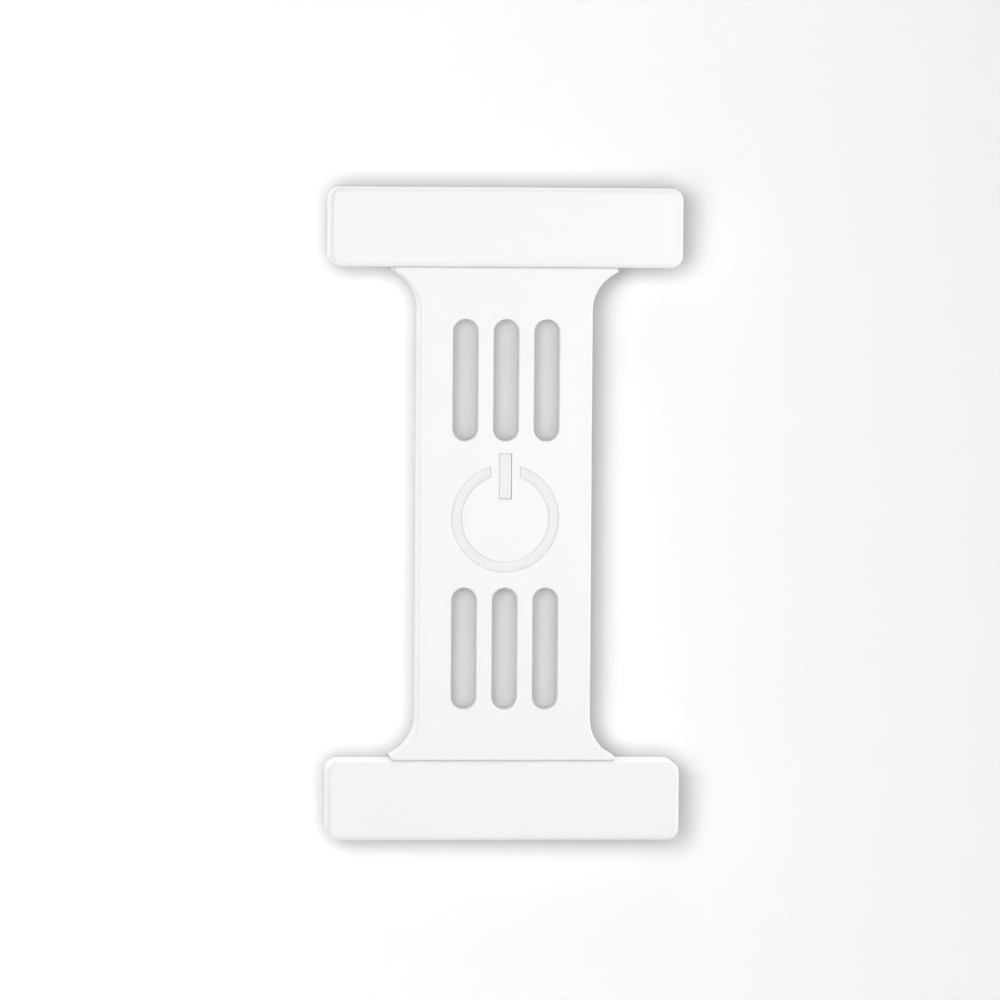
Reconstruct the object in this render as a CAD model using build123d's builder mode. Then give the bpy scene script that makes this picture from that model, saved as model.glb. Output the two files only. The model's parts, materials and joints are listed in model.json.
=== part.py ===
"""Slim wall battery unit: two cell bars joined by a vented spine, hung on a steel wall bracket.

Frame: the origin is on the wall plane, at the centre of the bracket's bolt pattern.
+X is to the right, +Z is up, and the front faces -Y, so a depth is a distance from the wall
towards the room. Units are millimetres.
"""

from build123d import *

import os
from math import radians, tan

os.makedirs("parts", exist_ok=True)

# ---------------------------------------------------------------- driving dimensions

# overall shape
BAR_WIDTH = 352.0
BAR_HEIGHT = 79.0
BAR_FRONT = 56.0            # depth of the bars' front face
BAR_CORNER = 12.0
BAR_EDGE = 5.3              # rounding of the bars' front edges
BAR_WALL = 3.0
GAP_HALF = 246.0            # half of the distance between the two bars
SPINE_HALF = 86.2
SPINE_FRONT = 52.5
SPINE_EDGE = 2.5
SPINE_WALL = 2.8
FLARE_RADIUS = 42.0
FLARE_HEIGHT = 43.0
FLARE_NOSE = 2.6            # rounding of each flare's tip
RIM = 1.0                   # depth where the covers begin, just clear of the wall

# rear closure
LIP = 1.2                   # thickness of the lip that hides the plate's edge
PLATE_BACK = 4.2
PLATE_FRONT = 6.2
PLATE_GAP = 0.2
GASKET_FRONT = 7.4

# slots, in two groups of three
SLOT_WIDTH = 24.9
SLOT_PITCH = 40.6
SLOT_LOW = 73.3
SLOT_HIGH = 194.1
SLOT_EDGE = 1.8
COLLAR_WALL = 2.0
COLLAR_BACK = 29.2

# power symbol
RING_Z = -3.9
RING_OUTER = 53.6
RING_INNER = 43.35
RING_GAP_HALF = 14.55
KEY_WIDTH = 12.7
KEY_LOW = 15.3
KEY_HIGH = 60.6
KEY_GAP = 0.25
KEY_TRAVEL = 1.5
GROOVE_EDGE = 0.4

# cells: eight groups of three in each bar, in two blocks with the leads between them
CELL_RADIUS = 10.85
CELL_LENGTH = 70.0
CELL_CAP_RADIUS = 4.5
CELL_CAP_HEIGHT = 1.0
CELL_FIRST = 30.0           # distance of the first column from the middle
CELL_PITCH = 23.2
CELL_COLUMNS = 6            # columns in each block
CELL_ROWS = (18.65, 41.35)  # depths of the rear and front rows
HOLDER_THICK = 8.0
BUSBAR_THICK = 0.4
BUSBAR_BAND = 18.0
SHEET_THICK = 1.0
LEAD_RADIUS = 2.2
LEAD_X = 3.4
LEAD_DEPTH = 30.0

# screws: shank radius, head radius, head height
SCREW_M4 = (1.6, 3.5, 1.8)
SCREW_M3 = (1.25, 2.6, 1.6)
THREAD_GAP = 0.05           # radial gap round a shank in its boss
CLEARANCE = 0.4             # radial gap round a shank in a plate
BOSS_M4 = 4.0
BOSS_M3 = 3.5

# electronics, by depth
SINK_BASE_BACK = 20.0
SINK_BASE_FRONT = 23.5
PAD_FRONT = 24.5
POWER_BOARD_FRONT = 26.1
INDICATOR_BACK = 36.0
INDICATOR_FRONT = 37.6
FILTER_BACK = 26.0
FILTER_FRONT = 29.0
FRAME_BACK = 23.8
BMS_BACK = 12.0
BMS_FRONT = 13.6
BOARD_THICK = 1.6

# blowers, centrifugal, 50 mm wide and 15 mm thick
BLOWER_X = 30.0
BLOWER_Z = -101.0
BLOWER_RADIUS = 25.0
BLOWER_THICK = 15.0
BLOWER_WALL = 1.5
ROTOR_RADIUS = 18.5
ROTOR_BLADES = 24

# wall fixing
BRACKET_THICK = 2.0
BRACKET_HALF_WIDTH = 60.0
BRACKET_HALF_HEIGHT = 232.0
WALL_HOLE_RADIUS = 3.25
WALL_HOLE_X = 45.0
WALL_HOLE_Z = 160.0
HOOK_X = 45.0
HOOK_WIDTH = 24.0
HOOK_LEVELS = (205.0, -218.0)
HOOK_LIP_BACK = 7.2
HOOK_RISE = 9.0

# rear cable entry
ENTRY_Z = -222.0
ENTRY_BORE = 7.0
ENTRY_NECK = 10.9
ENTRY_FLANGE = 13.5
ENTRY_FLANGE_THICK = 1.2

BAR_CENTRE = GAP_HALF + BAR_HEIGHT / 2
BAR_INSIDE = BAR_FRONT - BAR_WALL
SPINE_INSIDE = SPINE_FRONT - SPINE_WALL
SLOT_CENTRE = (SLOT_LOW + SLOT_HIGH) / 2
SLOT_LENGTH = SLOT_HIGH - SLOT_LOW
KEY_CENTRE = (KEY_LOW + KEY_HIGH) / 2
KEY_HEIGHT = KEY_HIGH - KEY_LOW
CELL_HALF = CELL_LENGTH / 2
ROW_CENTRE = sum(CELL_ROWS) / 2
SIDES = {"upper": 1, "lower": -1}
HANDS = {"left": -1, "right": 1}


# ---------------------------------------------------------------- helpers

def layer(depth):
    """Plane parallel to the wall at a depth: local x is X, local y is Z, extrusion goes forward."""
    return Plane(origin=(0, -depth, 0), x_dir=(1, 0, 0), z_dir=(0, -1, 0))


def level(height):
    """Horizontal plane at a height: local x is X, local y is minus the depth."""
    return Plane(origin=(0, 0, height), x_dir=(1, 0, 0), z_dir=(0, 0, 1))


def finish(piece, name):
    """Label a finished piece and write it."""
    piece.part.label = name
    export_step(piece.part, f"parts/{name}.step")


def front_face(piece):
    """The face nearest to the room."""
    return piece.faces().filter_by(Axis.Y).sort_by(Axis.Y)[0]


def corners(x, z, centre_z=0.0):
    """Four places, symmetric in x about zero and in z about a centre."""
    return [(i * x, centre_z + j * z) for i in (-1, 1) for j in (-1, 1)]


def screws(places, seat, length, sizes):
    """Pan-head screws driven forward, their heads against the back of a seat."""
    shank, head, head_height = sizes
    with BuildPart() as group:
        with BuildSketch(layer(seat)):
            with Locations(*places):
                Circle(shank)
        extrude(amount=length)
        with BuildSketch(layer(seat - head_height)):
            with Locations(*places):
                Circle(head)
        extrude(amount=head_height)
        fillet(group.edges().filter_by(GeomType.CIRCLE).group_by(Axis.Y)[-1], head_height / 3)
    return group


def leads(routes):
    """Round insulated wires, each along straight runs joined by the largest tangent arcs."""
    with BuildPart() as group:
        for points in routes:
            corners_radii = []
            for before, point, after in zip(points, points[1:], points[2:]):
                run_in = Vector(*point) - Vector(*before)
                run_out = Vector(*after) - Vector(*point)
                half_turn = radians(run_in.get_angle(run_out)) / 2
                corners_radii.append(0.45 * min(run_in.length, run_out.length) / tan(half_turn))
            with BuildLine() as route:
                FilletPolyline(*points, radius=corners_radii)
            with BuildSketch(Plane(origin=route.line @ 0, z_dir=route.line % 0)):
                Circle(LEAD_RADIUS)
            sweep(path=route.line)
    return group


# ---------------------------------------------------------------- outlines

def spine_outline(inset=0.0):
    """Straight sides that flare out in concave arcs to round noses against the bars."""
    flare_start = Vector(SPINE_HALF, GAP_HALF - FLARE_HEIGHT)
    centre = flare_start + Vector(FLARE_RADIUS, 0)
    reach = FLARE_RADIUS + FLARE_NOSE
    rise = FLARE_HEIGHT - FLARE_NOSE
    nose = Vector(centre.X - (reach ** 2 - rise ** 2) ** 0.5, GAP_HALF - FLARE_NOSE)
    touch = centre + (nose - centre).normalized() * FLARE_RADIUS
    flare_middle = centre + ((flare_start + touch) * 0.5 - centre).normalized() * FLARE_RADIUS
    nose_top = Vector(nose.X, GAP_HALF)
    nose_middle = nose + ((touch - nose).normalized() + Vector(0.5, 1)).normalized() * FLARE_NOSE
    with BuildSketch() as outline:
        with BuildLine():
            Line((SPINE_HALF, 0), flare_start)
            ThreePointArc(flare_start, flare_middle, touch)
            ThreePointArc(touch, nose_middle, nose_top)
            Line(nose_top, (0, GAP_HALF))
            mirror(about=Plane.YZ)
            mirror(about=Plane.XZ)
        make_face()
        if inset:
            offset(amount=-inset)
    return outline.sketch


def bar_outline(side, inset=0.0):
    """Rounded rectangle of one bar."""
    with BuildSketch() as outline:
        with Locations((0, side * BAR_CENTRE)):
            RectangleRounded(BAR_WIDTH - 2 * inset, BAR_HEIGHT - 2 * inset, BAR_CORNER - inset)
    return outline.sketch


def whole_outline(inset):
    """Both bars and the spine together, drawn in from the edge."""
    with BuildSketch() as outline:
        add(spine_outline())
        for side in SIDES.values():
            add(bar_outline(side))
        offset(amount=-inset)
    return outline.sketch


def slot_places():
    """Centres of the six slots."""
    return [(i * SLOT_PITCH, side * SLOT_CENTRE) for side in (-1, 1) for i in (-1, 0, 1)]


def ring_sketch(outer, inner, gap_half):
    """C-shaped ring, open at the top between two upright cuts."""
    with BuildSketch() as ring:
        with Locations((0, RING_Z)):
            Circle(outer)
            Circle(inner, mode=Mode.SUBTRACT)
        with Locations((0, RING_Z + outer)):
            Rectangle(2 * gap_half, 2 * outer - 2, mode=Mode.SUBTRACT)
    return ring.sketch


PLATE_POCKET = whole_outline(LIP)
PLATE_OUTLINE = whole_outline(LIP + PLATE_GAP)


# ---------------------------------------------------------------- screw places

def bar_screw_places(side):
    return corners(164.0, 27.0, side * BAR_CENTRE)


FILTER_SCREW_X = 63.0
SPINE_SCREW_PLACES = [(x, z) for x in (-78.5, 78.5) for z in (-215.0, 0.0, 215.0)]
SINK_SCREW_PLACES = corners(57.0, 50.0)
BOARD_SCREW_PLACES = corners(26.0, 26.0, RING_Z)
FILTER_SCREW_PLACES = [
    place for side in SIDES.values() for place in corners(FILTER_SCREW_X, 50.0, side * SLOT_CENTRE)
]
BLOWER_SCREW_PLACES = [
    (hand * BLOWER_X + i * 20.5, BLOWER_Z - 20.5) for hand in HANDS.values() for i in (-1, 1)
]
BMS_POST_PLACES = corners(62.0, 15.0, 221.5)
WALL_HOLE_PLACES = corners(WALL_HOLE_X, WALL_HOLE_Z)
HOOK_PLACES = [(x, z) for x in (-HOOK_X, HOOK_X) for z in HOOK_LEVELS]
PAD_PLACES = corners(150.0, BAR_CENTRE)


# ---------------------------------------------------------------- covers

def bar_cover(side):
    """Moulded front shell of a bar, open at the back, with four screw bosses."""
    with BuildPart() as cover:
        with BuildSketch(layer(RIM)):
            add(bar_outline(side))
        extrude(amount=BAR_FRONT - RIM)
        fillet(front_face(cover).edges(), BAR_EDGE)
        with BuildSketch(layer(RIM)):
            add(bar_outline(side, BAR_WALL))
        extrude(amount=BAR_INSIDE - RIM, mode=Mode.SUBTRACT)
        with BuildSketch(layer(RIM)):
            add(PLATE_POCKET)
        extrude(amount=GASKET_FRONT - RIM, mode=Mode.SUBTRACT)
        with BuildSketch(layer(PLATE_FRONT)):
            with Locations(*bar_screw_places(side)):
                Circle(BOSS_M4)
        extrude(amount=BAR_INSIDE - PLATE_FRONT)
        with BuildSketch(layer(PLATE_FRONT)):
            with Locations(*bar_screw_places(side)):
                Circle(SCREW_M4[0] + THREAD_GAP)
        extrude(amount=12, mode=Mode.SUBTRACT)
        with BuildSketch(level(side * GAP_HALF)):
            with Locations((0, -LEAD_DEPTH)):
                Circle(9.5)
        extrude(amount=side * BAR_WALL, mode=Mode.SUBTRACT)
    return cover


def spine_cover():
    """Moulded front shell of the spine: slots with deep collars, the ring groove and the key opening."""
    with BuildPart() as cover:
        with BuildSketch(layer(RIM)):
            add(spine_outline())
        extrude(amount=SPINE_FRONT - RIM)
        fillet(front_face(cover).edges(), SPINE_EDGE)
        with BuildSketch(layer(RIM)):
            add(spine_outline(SPINE_WALL))
        extrude(amount=SPINE_INSIDE - RIM, mode=Mode.SUBTRACT)
        with BuildSketch(layer(RIM)):
            add(PLATE_POCKET)
        extrude(amount=GASKET_FRONT - RIM, mode=Mode.SUBTRACT)
        # power symbol, cut right through the front wall
        with BuildSketch(layer(SPINE_INSIDE)):
            add(ring_sketch(RING_OUTER, RING_INNER, RING_GAP_HALF))
            with Locations((0, KEY_CENTRE)):
                Rectangle(KEY_WIDTH, KEY_HEIGHT)
        extrude(amount=SPINE_WALL, mode=Mode.SUBTRACT)
        symbol_edges = [edge for wire in front_face(cover).inner_wires() for edge in wire.edges()]
        fillet(symbol_edges, GROOVE_EDGE)
        # guide frame round the key
        with BuildSketch(layer(SPINE_INSIDE - 5)):
            with Locations((0, KEY_CENTRE)):
                Rectangle(KEY_WIDTH + 4.8, KEY_HEIGHT + 4.8)
                Rectangle(KEY_WIDTH, KEY_HEIGHT, mode=Mode.SUBTRACT)
        extrude(amount=5)
        # slots and their collars
        with BuildSketch(layer(COLLAR_BACK)):
            with Locations(*slot_places()):
                SlotOverall(SLOT_LENGTH + 2 * COLLAR_WALL, SLOT_WIDTH + 2 * COLLAR_WALL, rotation=90)
        extrude(amount=SPINE_INSIDE - COLLAR_BACK)
        with BuildSketch(layer(COLLAR_BACK)):
            with Locations(*slot_places()):
                SlotOverall(SLOT_LENGTH, SLOT_WIDTH, rotation=90)
        extrude(amount=SPINE_FRONT - COLLAR_BACK, mode=Mode.SUBTRACT)
        slot_wires = [wire for wire in front_face(cover).inner_wires() if abs(wire.center().Z) > SLOT_LOW]
        fillet([edge for wire in slot_wires for edge in wire.edges()], SLOT_EDGE)
        # bosses and their pilot holes
        for places, back, radius, sizes in (
            (SPINE_SCREW_PLACES, PLATE_FRONT, BOSS_M4, SCREW_M4),
            (FILTER_SCREW_PLACES, FILTER_BACK, BOSS_M3, SCREW_M3),
            (BOARD_SCREW_PLACES, INDICATOR_FRONT, BOSS_M3, SCREW_M3),
        ):
            with BuildSketch(layer(back)):
                with Locations(*places):
                    Circle(radius)
            extrude(amount=SPINE_INSIDE - back)
            with BuildSketch(layer(back)):
                with Locations(*places):
                    Circle(sizes[0] + THREAD_GAP)
            extrude(amount=10, mode=Mode.SUBTRACT)
        # passages for the leads from the bars
        for side in SIDES.values():
            with BuildSketch(level(side * GAP_HALF)):
                with Locations((0, -LEAD_DEPTH)):
                    Circle(9.5)
            extrude(amount=-side * SPINE_WALL, mode=Mode.SUBTRACT)
    return cover


def gasket(outline, hole):
    """Flat sealing ring between the rear plate and the back of a cover's wall."""
    with BuildPart() as ring:
        with BuildSketch(layer(PLATE_FRONT)):
            add(outline)
            add(hole, mode=Mode.SUBTRACT)
        extrude(amount=GASKET_FRONT - PLATE_FRONT)
    return ring


for name, side in SIDES.items():
    finish(bar_cover(side), f"{name}_bar_cover")
    finish(gasket(bar_outline(side, 1.4), bar_outline(side, BAR_WALL)), f"{name}_bar_gasket")
    plate_screws = screws(bar_screw_places(side), PLATE_BACK, 13, SCREW_M4)
    finish(plate_screws, f"{name}_bar_screws")

finish(spine_cover(), "spine_cover")
finish(gasket(spine_outline(1.4), spine_outline(SPINE_WALL)), "spine_gasket")
finish(screws(SPINE_SCREW_PLACES, PLATE_BACK, 11, SCREW_M4), "spine_screws")


# ---------------------------------------------------------------- rear plate and wall bracket

with BuildPart() as chassis_plate:
    with BuildSketch(layer(PLATE_BACK)):
        add(PLATE_OUTLINE)
        cover_places = bar_screw_places(1) + bar_screw_places(-1) + SPINE_SCREW_PLACES
        with Locations(*cover_places):
            Circle(SCREW_M4[0] + CLEARANCE, mode=Mode.SUBTRACT)
        with Locations(*(SINK_SCREW_PLACES + BLOWER_SCREW_PLACES)):
            Circle(SCREW_M3[0] + CLEARANCE, mode=Mode.SUBTRACT)
        with Locations((0, ENTRY_Z)):
            Circle(ENTRY_NECK, mode=Mode.SUBTRACT)
        # windows that drop over the bracket's hooks
        with Locations(*[(x, z + BRACKET_THICK - 6.5) for x, z in HOOK_PLACES]):
            Rectangle(HOOK_WIDTH + 3, 13, mode=Mode.SUBTRACT)
    extrude(amount=PLATE_FRONT - PLATE_BACK)
finish(chassis_plate, "chassis_plate")

with BuildPart() as wall_bracket:
    with BuildSketch(layer(0)):
        RectangleRounded(2 * BRACKET_HALF_WIDTH, 2 * BRACKET_HALF_HEIGHT, 6)
        with Locations(*WALL_HOLE_PLACES):
            Circle(WALL_HOLE_RADIUS, mode=Mode.SUBTRACT)
        with GridLocations(0, 84, 1, 3):
            RectangleRounded(58, 58, 8, mode=Mode.SUBTRACT)
        with Locations((0, -BRACKET_HALF_HEIGHT)):
            RectangleRounded(46, 76, 8, mode=Mode.SUBTRACT)
    extrude(amount=BRACKET_THICK)
    # hooks: a web that reaches through the plate and a lip that turns up in front of it
    with BuildSketch(layer(BRACKET_THICK)):
        with Locations(*[(x, z + BRACKET_THICK / 2) for x, z in HOOK_PLACES]):
            Rectangle(HOOK_WIDTH, BRACKET_THICK)
    extrude(amount=HOOK_LIP_BACK)
    with BuildSketch(layer(HOOK_LIP_BACK)):
        with Locations(*[(x, z + HOOK_RISE / 2) for x, z in HOOK_PLACES]):
            Rectangle(HOOK_WIDTH, HOOK_RISE)
    extrude(amount=BRACKET_THICK)
finish(wall_bracket, "wall_bracket")

with BuildPart() as wall_pads:
    with BuildSketch(layer(0)):
        with Locations(*PAD_PLACES):
            Circle(8)
    extrude(amount=PLATE_BACK)
    fillet(wall_pads.edges().filter_by(GeomType.CIRCLE).group_by(Axis.Y)[-1], 1)
finish(wall_pads, "wall_pads")

with BuildPart() as cable_grommet:
    for back, thick, radius in (
        (PLATE_BACK - ENTRY_FLANGE_THICK, ENTRY_FLANGE_THICK, ENTRY_FLANGE),
        (PLATE_BACK, PLATE_FRONT - PLATE_BACK, ENTRY_NECK),
        (PLATE_FRONT, ENTRY_FLANGE_THICK, ENTRY_FLANGE),
    ):
        with BuildSketch(layer(back)):
            with Locations((0, ENTRY_Z)):
                Circle(radius)
                Circle(ENTRY_BORE, mode=Mode.SUBTRACT)
        extrude(amount=thick)
finish(cable_grommet, "cable_grommet")


# ---------------------------------------------------------------- inside the bars

# Each group of three cells: block, row and whether it is the near or the far half of the block.
# The string runs out along one row and back along the other, so both its ends are at the middle.
NEAR_X = CELL_FIRST + CELL_PITCH
FAR_X = NEAR_X + 3 * CELL_PITCH
BLOCK_X = (NEAR_X + FAR_X) / 2
GROUP_LENGTH = 2 * CELL_PITCH + BUSBAR_BAND
HOLDER_HALF = 158.6
HOLDER_DEPTH = 45.8
WINDOW_WIDTH = 33.0
WINDOW_DEPTH = 32.0


def cell_places(up):
    """Places of the cells whose caps face up, or of those whose caps face down."""
    places = []
    for block in HANDS.values():
        for row, depth in enumerate(CELL_ROWS):
            for column in range(CELL_COLUMNS):
                far = column >= CELL_COLUMNS // 2
                faces_up = (block > 0) == (far == bool(row))
                if faces_up == up:
                    places.append((block * (CELL_FIRST + column * CELL_PITCH), -depth))
    return places


def cells(side):
    """Cylindrical cells standing upright, each with a raised cap at its positive end."""
    bottom = side * BAR_CENTRE - CELL_HALF
    can = CELL_LENGTH - CELL_CAP_HEIGHT
    with BuildPart() as group:
        for up in (True, False):
            can_bottom = bottom if up else bottom + CELL_CAP_HEIGHT
            with BuildSketch(level(can_bottom)):
                with Locations(*cell_places(up)):
                    Circle(CELL_RADIUS)
            extrude(amount=can)
            with BuildSketch(level(can_bottom + can if up else bottom)):
                with Locations(*cell_places(up)):
                    Circle(CELL_CAP_RADIUS)
            extrude(amount=CELL_CAP_HEIGHT)
    return group


def cell_holder(base):
    """Plate with a seat for each cell's end and a window in the middle for the leads."""
    with BuildPart() as holder:
        with BuildSketch(level(base)):
            with Locations((0, -ROW_CENTRE)):
                RectangleRounded(2 * HOLDER_HALF, HOLDER_DEPTH, 3)
            with Locations(*(cell_places(True) + cell_places(False))):
                Circle(CELL_RADIUS + 0.1, mode=Mode.SUBTRACT)
            with Locations((0, -ROW_CENTRE)):
                RectangleRounded(WINDOW_WIDTH, WINDOW_DEPTH, 3, mode=Mode.SUBTRACT)
        extrude(amount=HOLDER_THICK)
    return holder


def busbars(side):
    """Nickel links between groups, on the cells' ends: four at the spine and five far from it."""
    near_end = side * (BAR_CENTRE - CELL_HALF)
    far_end = side * (BAR_CENTRE + CELL_HALF)
    rear, front = CELL_ROWS
    with BuildPart() as group:
        with BuildSketch(level(near_end)):
            with Locations(*[(x, -depth) for x in (-BLOCK_X, BLOCK_X) for depth in CELL_ROWS]):
                Rectangle(GROUP_LENGTH + 3 * CELL_PITCH, BUSBAR_BAND)
        extrude(amount=-side * BUSBAR_THICK)
        with BuildSketch(level(far_end)):
            with Locations((-FAR_X, -ROW_CENTRE), (FAR_X, -ROW_CENTRE)):
                Rectangle(GROUP_LENGTH, front - rear + BUSBAR_BAND)
            with Locations((0, -front)):
                Rectangle(2 * NEAR_X + GROUP_LENGTH, BUSBAR_BAND)
            with Locations((-NEAR_X, -rear), (NEAR_X, -rear)):
                Rectangle(GROUP_LENGTH, BUSBAR_BAND)
            with Locations((-16, -rear), (16, -rear)):
                Rectangle(14, 8)
        extrude(amount=side * BUSBAR_THICK)
    return group


def insulators(side):
    """Fibre sheets over the busbars; the one at the spine has the window for the leads."""
    outer = CELL_HALF + BUSBAR_THICK
    with BuildPart() as group:
        for end in (-1, 1):
            with BuildSketch(level(side * BAR_CENTRE + end * side * outer)):
                with Locations((0, -ROW_CENTRE)):
                    Rectangle(2 * HOLDER_HALF, 44)
                    if end < 0:
                        Rectangle(WINDOW_WIDTH, WINDOW_DEPTH, mode=Mode.SUBTRACT)
            extrude(amount=end * side * SHEET_THICK)
    return group


def pass_grommet(side):
    """Rubber grommet through the touching walls of a bar and the spine, with a hole for each lead."""
    with BuildPart() as grommet:
        for start, thick, radius in (
            (-SPINE_WALL - 1.6, 1.6, 12.0),
            (-SPINE_WALL, SPINE_WALL + BAR_WALL, 9.4),
            (BAR_WALL, 1.6, 12.0),
        ):
            with BuildSketch(level(side * (GAP_HALF + start))):
                with Locations((0, -LEAD_DEPTH)):
                    Circle(radius)
                with Locations((-LEAD_X, -LEAD_DEPTH), (LEAD_X, -LEAD_DEPTH)):
                    Circle(LEAD_RADIUS + 0.1, mode=Mode.SUBTRACT)
            extrude(amount=side * thick)
    return grommet


def bar_leads(side, end_z):
    """Two leads from the ends of the cell string, through the grommet, into the spine."""
    start_z = side * (BAR_CENTRE + CELL_HALF)
    routes = []
    for hand in HANDS.values():
        routes.append([
            (hand * 13, -CELL_ROWS[0], start_z),
            (hand * 13, -CELL_ROWS[0], side * (BAR_CENTRE + 8)),
            (hand * LEAD_X, -LEAD_DEPTH, side * (BAR_CENTRE - 20)),
            (hand * LEAD_X, -LEAD_DEPTH, end_z),
        ])
    return leads(routes)


BMS_TERMINAL_TOP = 232.0
JUNCTION_BOTTOM = -228.0

for name, side in SIDES.items():
    bottom_end = side * BAR_CENTRE - CELL_HALF
    top_end = side * BAR_CENTRE + CELL_HALF - HOLDER_THICK
    finish(cells(side), f"{name}_cells")
    finish(cell_holder(top_end), f"{name}_bar_top_holder")
    finish(cell_holder(bottom_end), f"{name}_bar_bottom_holder")
    finish(busbars(side), f"{name}_busbars")
    finish(insulators(side), f"{name}_insulators")
    finish(pass_grommet(side), f"{name}_pass_grommet")

finish(bar_leads(1, BMS_TERMINAL_TOP), "upper_leads")
finish(bar_leads(-1, JUNCTION_BOTTOM), "lower_leads")


# ---------------------------------------------------------------- filters behind the slots

FILTER_WIDTH = 114.0
FILTER_HEIGHT = SLOT_LENGTH + 2 * COLLAR_WALL + 1.6

for name, side in SIDES.items():
    with BuildPart() as dust_filter:
        with BuildSketch(layer(FILTER_BACK)):
            with Locations((0, side * SLOT_CENTRE)):
                RectangleRounded(FILTER_WIDTH, FILTER_HEIGHT, 3)
        extrude(amount=FILTER_FRONT - FILTER_BACK)
    finish(dust_filter, f"{name}_dust_filter")

    with BuildPart() as filter_frame:
        with BuildSketch(layer(FRAME_BACK)):
            with Locations((0, side * SLOT_CENTRE)):
                RectangleRounded(FILTER_WIDTH, FILTER_HEIGHT, 3)
            with Locations(*corners(61.0, 50.0, side * SLOT_CENTRE)):
                RectangleRounded(12, 8, 3.9)
            with Locations((0, side * SLOT_CENTRE)):
                with GridLocations(26.4, 23.8, 4, 5):
                    RectangleRounded(23.4, 20.8, 2, mode=Mode.SUBTRACT)
            with Locations(*corners(FILTER_SCREW_X, 50.0, side * SLOT_CENTRE)):
                Circle(SCREW_M3[0] + CLEARANCE, mode=Mode.SUBTRACT)
        extrude(amount=FILTER_BACK - FRAME_BACK)
    finish(filter_frame, f"{name}_filter_frame")


# ---------------------------------------------------------------- power symbol

with BuildPart() as light_ring:
    with BuildSketch(layer(SPINE_INSIDE - 2.5)):
        add(ring_sketch(RING_OUTER + 2.6, RING_INNER - 2.0, RING_GAP_HALF - 3.5))
    extrude(amount=2.5)
finish(light_ring, "light_ring")

KEY_FACE = SPINE_INSIDE + 0.1
KEY_STOP = SPINE_INSIDE - 5.2        # the flange stops just short of the guide frame
KEY_BACK = KEY_STOP - 1.6

with BuildPart() as power_key:
    with BuildSketch(layer(KEY_STOP)):
        with Locations((0, KEY_CENTRE)):
            RectangleRounded(KEY_WIDTH - 2 * KEY_GAP, KEY_HEIGHT - 2 * KEY_GAP, 0.4)
    extrude(amount=KEY_FACE - KEY_STOP)
    fillet(front_face(power_key).edges(), 0.3)
    with BuildSketch(layer(KEY_BACK)):
        with Locations((0, KEY_CENTRE)):
            RectangleRounded(KEY_WIDTH + 3.3, KEY_HEIGHT + 3.3, 1.5)
    extrude(amount=KEY_STOP - KEY_BACK)
finish(power_key, "power_key")

PLUNGER_RADIUS = 1.5
SWITCH_FRONT = KEY_BACK - KEY_TRAVEL - 0.2

with BuildPart() as switch_plunger:
    with BuildSketch(layer(SWITCH_FRONT - 1.4)):
        with Locations((0, KEY_CENTRE)):
            Circle(PLUNGER_RADIUS)
    extrude(amount=KEY_BACK - SWITCH_FRONT + 1.4)
finish(switch_plunger, "switch_plunger")

with BuildPart() as switch_body:
    with BuildSketch(layer(INDICATOR_FRONT)):
        with Locations((0, KEY_CENTRE)):
            RectangleRounded(12, 12, 1)
    extrude(amount=SWITCH_FRONT - INDICATOR_FRONT)
    with BuildSketch(layer(INDICATOR_FRONT + 0.3)):
        with Locations((0, KEY_CENTRE)):
            Circle(PLUNGER_RADIUS + 0.08)
    extrude(amount=SWITCH_FRONT - INDICATOR_FRONT, mode=Mode.SUBTRACT)
finish(switch_body, "switch_body")

with BuildPart() as indicator_board:
    with BuildSketch(layer(INDICATOR_BACK)):
        with Locations((0, RING_Z)):
            Circle(57)
        with Locations((0, 30)):
            Rectangle(60, 70)
        with Locations(*BOARD_SCREW_PLACES):
            Circle(SCREW_M3[0] + CLEARANCE, mode=Mode.SUBTRACT)
    extrude(amount=BOARD_THICK)
finish(indicator_board, "indicator_board")

filter_screws = screws(FILTER_SCREW_PLACES, FRAME_BACK, 9, SCREW_M3)
board_screws = screws(BOARD_SCREW_PLACES, INDICATOR_BACK, 9, SCREW_M3)
with BuildPart() as inner_screws:
    add(filter_screws.part)
    add(board_screws.part)
finish(inner_screws, "inner_screws")

LEDS = 12
with BuildPart() as status_leds:
    with BuildSketch(layer(INDICATOR_FRONT)):
        with Locations((0, RING_Z)):
            with PolarLocations((RING_OUTER + RING_INNER) / 2, LEDS, start_angle=-240, angular_range=330):
                Rectangle(5, 5)
    extrude(amount=BOARD_THICK)
finish(status_leds, "status_leds")


# ---------------------------------------------------------------- power electronics

with BuildPart() as heat_sink:
    with BuildSketch(layer(SINK_BASE_BACK)):
        Rectangle(120, 128)
    extrude(amount=SINK_BASE_FRONT - SINK_BASE_BACK)
    with BuildSketch(layer(PLATE_FRONT)):
        with Locations((-57, 0), (57, 0)):
            Rectangle(6, 128)
    extrude(amount=SINK_BASE_BACK - PLATE_FRONT)
    with BuildSketch(layer(PLATE_FRONT + 1)):
        with GridLocations(7, 0, 15, 1):
            Rectangle(1.6, 128)
    extrude(amount=SINK_BASE_BACK - PLATE_FRONT - 1)
    with BuildSketch(layer(PLATE_FRONT)):
        with Locations(*SINK_SCREW_PLACES):
            Circle(SCREW_M3[0] + THREAD_GAP)
    extrude(amount=10, mode=Mode.SUBTRACT)
finish(heat_sink, "heat_sink")
finish(screws(SINK_SCREW_PLACES + BLOWER_SCREW_PLACES, PLATE_BACK, 9, SCREW_M3), "chassis_screws")

with BuildPart() as thermal_pad:
    with BuildSketch(layer(SINK_BASE_FRONT)):
        Rectangle(100, 110)
    extrude(amount=PAD_FRONT - SINK_BASE_FRONT)
finish(thermal_pad, "thermal_pad")

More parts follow.
